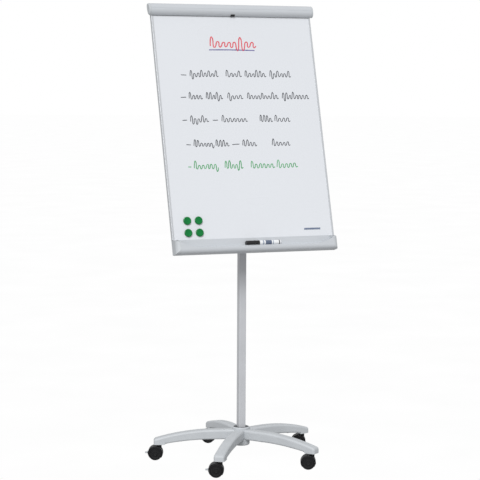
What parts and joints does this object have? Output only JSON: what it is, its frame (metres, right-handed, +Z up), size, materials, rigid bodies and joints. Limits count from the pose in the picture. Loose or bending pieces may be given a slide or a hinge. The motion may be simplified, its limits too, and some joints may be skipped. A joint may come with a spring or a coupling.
{
  "type": "flipchart easel",
  "caption": "Mobile flipchart easel: leaning dry-wipe board with a hinged paper clamp and pen tray on a telescopic column with a five-armed star base on twin-wheel castors.",
  "frame": {"origin": "centre of the bottom face of the bounding box, on the floor; the column axis stands 29 mm in front of it, at y = -0.029 m", "axes": "+Z up along the column; the board faces -Y and its top leans back towards +Y; +X to the right for someone facing the board"},
  "size_m": [0.7384, 0.6768, 1.8662],
  "materials": {
    "grey_plastic": "fine moulded satin",
    "dark_plastic": "matt",
    "steel": "zinc plated",
    "grey_coat": "fine powder coat",
    "bare_tube": "anodised satin",
    "cast_grey": "powder coat",
    "white_sheet": "glossy dry-wipe enamel",
    "core": "raw fibreboard edge",
    "zinc_sheet": "galvanised, lacquered",
    "aluminium": "anodised satin",
    "grey_rail": "silver-grey lacquer over extrusion",
    "rubber": "matt",
    "black_plastic": "moulded satin",
    "white_plastic": "gloss",
    "green_plastic": "gloss",
    "castor_black": "moulded satin",
    "tyre_black": "hard nylon"
  },
  "bodies": {
    "base": {"star_base": "grey_plastic", "hub_ring": "dark_plastic", "castor_sleeves": "steel", "column_tube": "grey_coat", "column_foot_plug": "dark_plastic", "column_bolt": "steel", "guide_bush": "dark_plastic", "height_clamp": "dark_plastic"},
    "height_knob": {"height_knob": "black_plastic"},
    "mast": {"inner_column": "bare_tube", "tube_glide": "dark_plastic", "tilt_head": "cast_grey"},
    "board": {"writing_sheet": "white_sheet", "board_core": "core", "back_sheet": "zinc_sheet", "left_edge_profile": "aluminium", "right_edge_profile": "aluminium", "top_rail": "aluminium", "hinge_brackets": "dark_plastic", "hinge_rod": "steel", "tilt_bracket": "cast_grey", "board_screws": "steel", "tilt_bolt": "steel", "pen_tray": "grey_rail", "tray_ends": "grey_plastic"},
    "tilt_knob": {"tilt_knob": "black_plastic"},
    "paper_clamp": {"clamp_bar": "grey_rail", "clamp_end_caps": "grey_plastic", "clamp_gasket": "rubber", "pull_tab": "black_plastic"},
    "left_peg": {"left_pad_peg": "dark_plastic"},
    "right_peg": {"right_pad_peg": "dark_plastic"},
    "marker": {"marker_cap": "black_plastic", "marker_barrel": "white_plastic"},
    "lower_left_magnet": {"lower_left_magnet": "green_plastic"},
    "lower_right_magnet": {"lower_right_magnet": "green_plastic"},
    "upper_left_magnet": {"upper_left_magnet": "green_plastic"},
    "upper_right_magnet": {"upper_right_magnet": "green_plastic"},
    "castor_1": {"castor_1_hood": "castor_black", "castor_1_pins": "steel"},
    "castor_1_left_wheel": {"castor_1_left_wheel": "tyre_black"},
    "castor_1_right_wheel": {"castor_1_right_wheel": "tyre_black"},
    "castor_1_brake": {"castor_1_brake_pedal": "grey_plastic"},
    "castor_2": {"castor_2_hood": "castor_black", "castor_2_pins": "steel"},
    "castor_2_left_wheel": {"castor_2_left_wheel": "tyre_black"},
    "castor_2_right_wheel": {"castor_2_right_wheel": "tyre_black"},
    "castor_2_brake": {"castor_2_brake_pedal": "grey_plastic"},
    "castor_3": {"castor_3_hood": "castor_black", "castor_3_pins": "steel"},
    "castor_3_left_wheel": {"castor_3_left_wheel": "tyre_black"},
    "castor_3_right_wheel": {"castor_3_right_wheel": "tyre_black"},
    "castor_4": {"castor_4_hood": "castor_black", "castor_4_pins": "steel"},
    "castor_4_left_wheel": {"castor_4_left_wheel": "tyre_black"},
    "castor_4_right_wheel": {"castor_4_right_wheel": "tyre_black"},
    "castor_5": {"castor_5_hood": "castor_black", "castor_5_pins": "steel"},
    "castor_5_left_wheel": {"castor_5_left_wheel": "tyre_black"},
    "castor_5_right_wheel": {"castor_5_right_wheel": "tyre_black"}
  },
  "joints": [
    {"name": "height_slide", "type": "slide", "parent": "base", "child": "mast", "axis": [0, 0, 1], "range_m": [-0.25, 0.1]},
    {"name": "height_knob_turn", "type": "hinge", "parent": "base", "child": "height_knob", "pos_m": [0, 0.001, 0.943], "axis": [0, 1, 0], "range_deg": [-360, 0]},
    {"name": "board_tilt", "type": "hinge", "parent": "mast", "child": "board", "pos_m": [0, -0.02899, 1.25091], "axis": [-1, 0, 0], "range_deg": [-16.4, 20]},
    {"name": "tilt_knob_turn", "type": "hinge", "parent": "board", "child": "tilt_knob", "pos_m": [0.02, -0.02899, 1.25091], "axis": [1, 0, 0], "range_deg": [0, 360]},
    {"name": "clamp_hinge", "type": "hinge", "parent": "board", "child": "paper_clamp", "pos_m": [0, 0.10952, 1.85613], "axis": [-1, 0, 0], "range_deg": [0, 70]},
    {"name": "left_peg_slide", "type": "slide", "parent": "board", "child": "left_peg", "axis": [1, 0, 0], "range_m": [-0.05, 0.05]},
    {"name": "right_peg_slide", "type": "slide", "parent": "board", "child": "right_peg", "axis": [1, 0, 0], "range_m": [-0.05, 0.05]},
    {"name": "marker_lift", "type": "slide", "parent": "board", "child": "marker", "axis": [0, 0, 1], "range_m": [0, 0.06]},
    {"name": "lower_left_magnet_pull", "type": "slide", "parent": "board", "child": "lower_left_magnet", "axis": [0, -0.9593, 0.2823], "range_m": [0, 0.03]},
    {"name": "lower_right_magnet_pull", "type": "slide", "parent": "board", "child": "lower_right_magnet", "axis": [0, -0.9593, 0.2823], "range_m": [0, 0.03]},
    {"name": "upper_left_magnet_pull", "type": "slide", "parent": "board", "child": "upper_left_magnet", "axis": [0, -0.9593, 0.2823], "range_m": [0, 0.03]},
    {"name": "upper_right_magnet_pull", "type": "slide", "parent": "board", "child": "upper_right_magnet", "axis": [0, -0.9593, 0.2823], "range_m": [0, 0.03]},
    {"name": "castor_1_swivel", "type": "hinge", "parent": "base", "child": "castor_1", "pos_m": [-0.32146, 0.07545, 0.065], "axis": [0, 0, 1], "continuous": true},
    {"name": "castor_1_left_wheel_spin", "type": "hinge", "parent": "castor_1", "child": "castor_1_left_wheel", "pos_m": [-0.33526, 0.08131, 0.028], "axis": [-0.3907, -0.9205, 0], "continuous": true},
    {"name": "castor_1_right_wheel_spin", "type": "hinge", "parent": "castor_1", "child": "castor_1_right_wheel", "pos_m": [-0.33526, 0.08131, 0.028], "axis": [-0.3907, -0.9205, 0], "continuous": true},
    {"name": "castor_1_brake_press", "type": "hinge", "parent": "castor_1", "child": "castor_1_brake", "pos_m": [-0.35506, 0.08971, 0.0325], "axis": [-0.3907, -0.9205, 0], "range_deg": [0, 9]},
    {"name": "castor_2_swivel", "type": "hinge", "parent": "base", "child": "castor_2", "pos_m": [-0.19867, -0.30245, 0.065], "axis": [0, 0, 1], "continuous": true},
    {"name": "castor_2_left_wheel_spin", "type": "hinge", "parent": "castor_2", "child": "castor_2_left_wheel", "pos_m": [-0.21248, -0.29659, 0.028], "axis": [-0.3907, -0.9205, 0], "continuous": true},
    {"name": "castor_2_right_wheel_spin", "type": "hinge", "parent": "castor_2", "child": "castor_2_right_wheel", "pos_m": [-0.21248, -0.29659, 0.028], "axis": [-0.3907, -0.9205, 0], "continuous": true},
    {"name": "castor_2_brake_press", "type": "hinge", "parent": "castor_2", "child": "castor_2_brake", "pos_m": [-0.23227, -0.28819, 0.0325], "axis": [-0.3907, -0.9205, 0], "range_deg": [0, 9]},
    {"name": "castor_3_swivel", "type": "hinge", "parent": "base", "child": "castor_3", "pos_m": [0.19867, -0.30245, 0.065], "axis": [0, 0, 1], "continuous": true},
    {"name": "castor_3_left_wheel_spin", "type": "hinge", "parent": "castor_3", "child": "castor_3_left_wheel", "pos_m": [0.18486, -0.29659, 0.028], "axis": [-0.3907, -0.9205, 0], "continuous": true},
    {"name": "castor_3_right_wheel_spin", "type": "hinge", "parent": "castor_3", "child": "castor_3_right_wheel", "pos_m": [0.18486, -0.29659, 0.028], "axis": [-0.3907, -0.9205, 0], "continuous": true},
    {"name": "castor_4_swivel", "type": "hinge", "parent": "base", "child": "castor_4", "pos_m": [0.32146, 0.07545, 0.065], "axis": [0, 0, 1], "continuous": true},
    {"name": "castor_4_left_wheel_spin", "type": "hinge", "parent": "castor_4", "child": "castor_4_left_wheel", "pos_m": [0.30765, 0.08131, 0.028], "axis": [-0.3907, -0.9205, 0], "continuous": true},
    {"name": "castor_4_right_wheel_spin", "type": "hinge", "parent": "castor_4", "child": "castor_4_right_wheel", "pos_m": [0.30765, 0.08131, 0.028], "axis": [-0.3907, -0.9205, 0], "continuous": true},
    {"name": "castor_5_swivel", "type": "hinge", "parent": "base", "child": "castor_5", "pos_m": [0, 0.309, 0.065], "axis": [0, 0, 1], "continuous": true},
    {"name": "castor_5_left_wheel_spin", "type": "hinge", "parent": "castor_5", "child": "castor_5_left_wheel", "pos_m": [-0.01381, 0.31486, 0.028], "axis": [-0.3907, -0.9205, 0], "continuous": true},
    {"name": "castor_5_right_wheel_spin", "type": "hinge", "parent": "castor_5", "child": "castor_5_right_wheel", "pos_m": [-0.01381, 0.31486, 0.028], "axis": [-0.3907, -0.9205, 0], "continuous": true}
  ]
}
